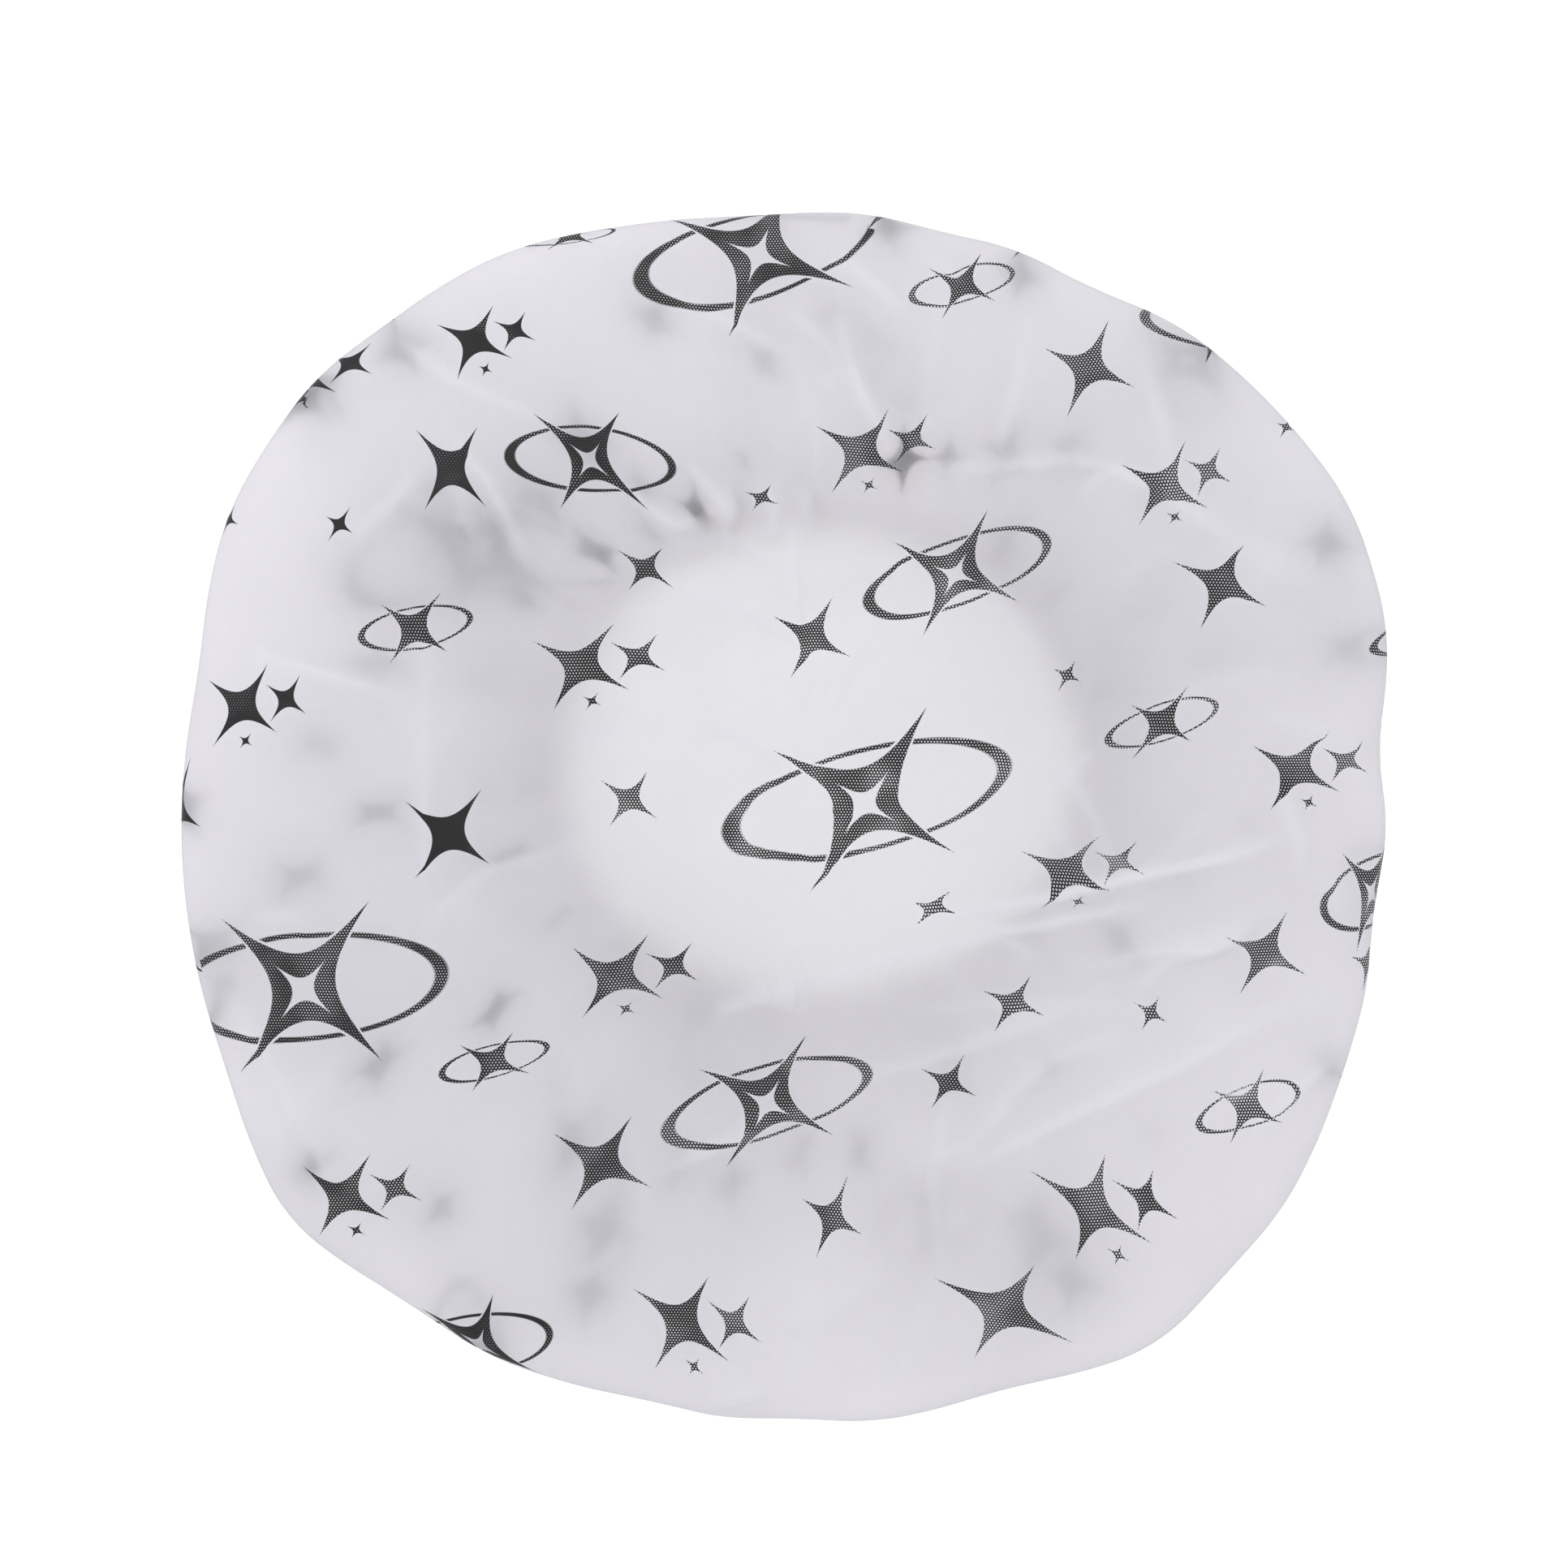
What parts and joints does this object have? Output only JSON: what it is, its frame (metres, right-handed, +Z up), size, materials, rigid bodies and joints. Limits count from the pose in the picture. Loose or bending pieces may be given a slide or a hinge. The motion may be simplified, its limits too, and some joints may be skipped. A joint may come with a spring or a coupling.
{
  "type": "shower cap",
  "caption": "Round printed plastic-film shower cap lying crown up, its turned hem gathered by a flat elastic band round the head opening.",
  "frame": {"origin": "on the surface under the cap, below the middle of its outline seen from above", "axes": "+Z up out of the crown, +X to the right and +Y away as the picture shows it from above"},
  "size_m": [0.2842, 0.2848, 0.024],
  "materials": {
    "film": "milky embossed film, satin",
    "braid": "flat braided yarn",
    "rubber_core": "natural rubber thread",
    "thread": "twisted sewing thread"
  },
  "bodies": {
    "root": {"cap_film_crown": "film", "cap_film_skirt": "film", "elastic_braid": "braid", "rubber_core_1": "rubber_core", "rubber_core_2": "rubber_core", "rubber_core_3": "rubber_core", "rubber_core_4": "rubber_core", "tack_thread": "thread", "hem_needle_thread": "thread", "hem_bobbin_thread": "thread"}
  },
  "joints": []
}
